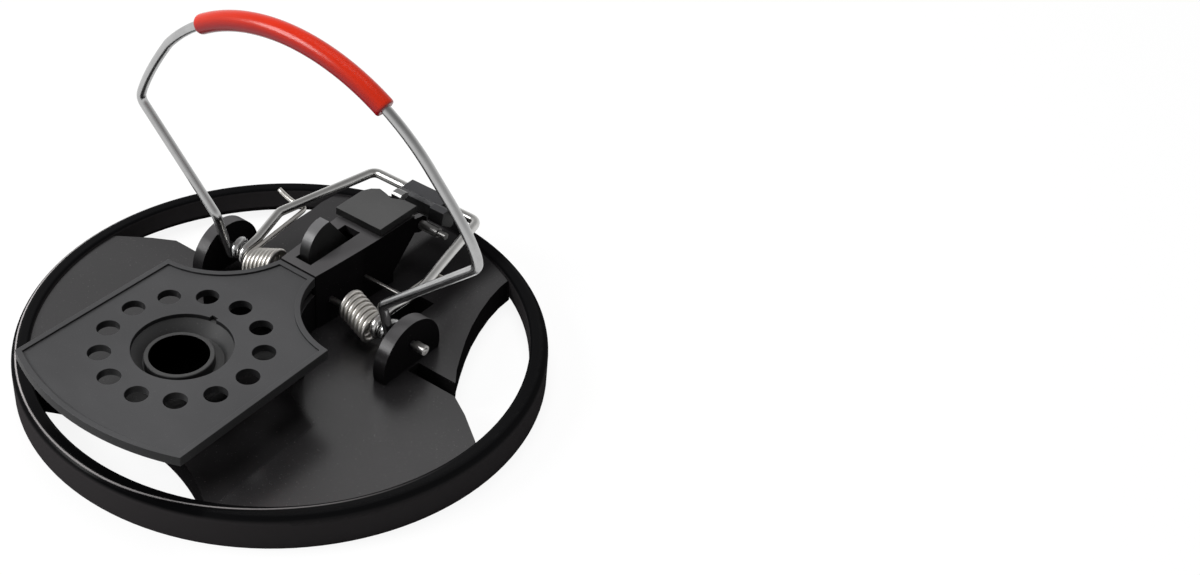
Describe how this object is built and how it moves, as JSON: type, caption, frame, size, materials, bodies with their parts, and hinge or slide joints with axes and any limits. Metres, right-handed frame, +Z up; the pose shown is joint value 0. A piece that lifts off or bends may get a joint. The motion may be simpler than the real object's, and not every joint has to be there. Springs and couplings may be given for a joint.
{
  "type": "snap mouse trap",
  "caption": "Round-base snap mouse trap, set, with a sleeved wire striker, torsion springs, a setting lever and a perforated trigger plate over a bait cup.",
  "frame": {"origin": "centre of the base ring on the ground", "axes": "+Z up, +Y towards the setting lever, the trigger plate lies towards -Y, +X along the striker's axle"},
  "size_m": [0.13, 0.13, 0.0901],
  "materials": {
    "base_plastic": "satin moulded",
    "cover_plastic": "fine matt grain",
    "trigger_plastic": "fine matt grain",
    "cup_plastic": "satin moulded",
    "pin_steel": "drawn wire",
    "cam_plastic": "satin moulded",
    "rod_steel": "drawn wire",
    "catch_steel": "dull pressed steel",
    "catch_pin_steel": "turned, dull",
    "axle_steel": "drawn wire",
    "bail_steel": "drawn wire, smooth",
    "sleeve_plastic": "smooth soft tube",
    "lever_steel": "drawn wire, smooth",
    "pad_plastic": "satin moulded",
    "left_spring_steel": "spring wire",
    "right_spring_steel": "spring wire"
  },
  "bodies": {
    "base": {"base_frame": "base_plastic", "spine_cover": "cover_plastic", "trigger_pin": "pin_steel", "cam_rod": "rod_steel", "catch_pin": "catch_pin_steel"},
    "trigger": {"trigger_plate": "trigger_plastic", "bait_cup": "cup_plastic"},
    "cam": {"trip_cam": "cam_plastic"},
    "catch": {"catch_hook": "catch_steel"},
    "striker": {"axle": "axle_steel", "striker_bail": "bail_steel", "striker_sleeve": "sleeve_plastic", "setting_lever": "lever_steel", "lever_pad": "pad_plastic", "left_spring": "left_spring_steel", "right_spring": "right_spring_steel"}
  },
  "joints": [
    {"name": "striker_swing", "type": "hinge", "parent": "base", "child": "striker", "pos_m": [0, 0.01225, 0.01455], "axis": [1, 0, 0], "range_deg": [0, 83]},
    {"name": "trigger_tilt", "type": "hinge", "parent": "base", "child": "trigger", "pos_m": [0, 0.0088, 0.0187], "axis": [1, 0, 0], "range_deg": [0, 9.3]},
    {"name": "cam_tilt", "type": "hinge", "parent": "base", "child": "cam", "pos_m": [-0.0013, 0.024, 0.0152], "axis": [1, 0, 0], "range_deg": [-14.4, 0]},
    {"name": "catch_tilt", "type": "hinge", "parent": "base", "child": "catch", "pos_m": [0, 0.0445, 0.0201], "axis": [1, 0, 0], "range_deg": [0, 8.5]}
  ],
  "couplings": [
    {"joint": "trigger_tilt", "follows": "striker_swing", "ratio": 0.11},
    {"joint": "cam_tilt", "follows": "striker_swing", "ratio": -0.17},
    {"joint": "catch_tilt", "follows": "striker_swing", "ratio": 0.1}
  ]
}
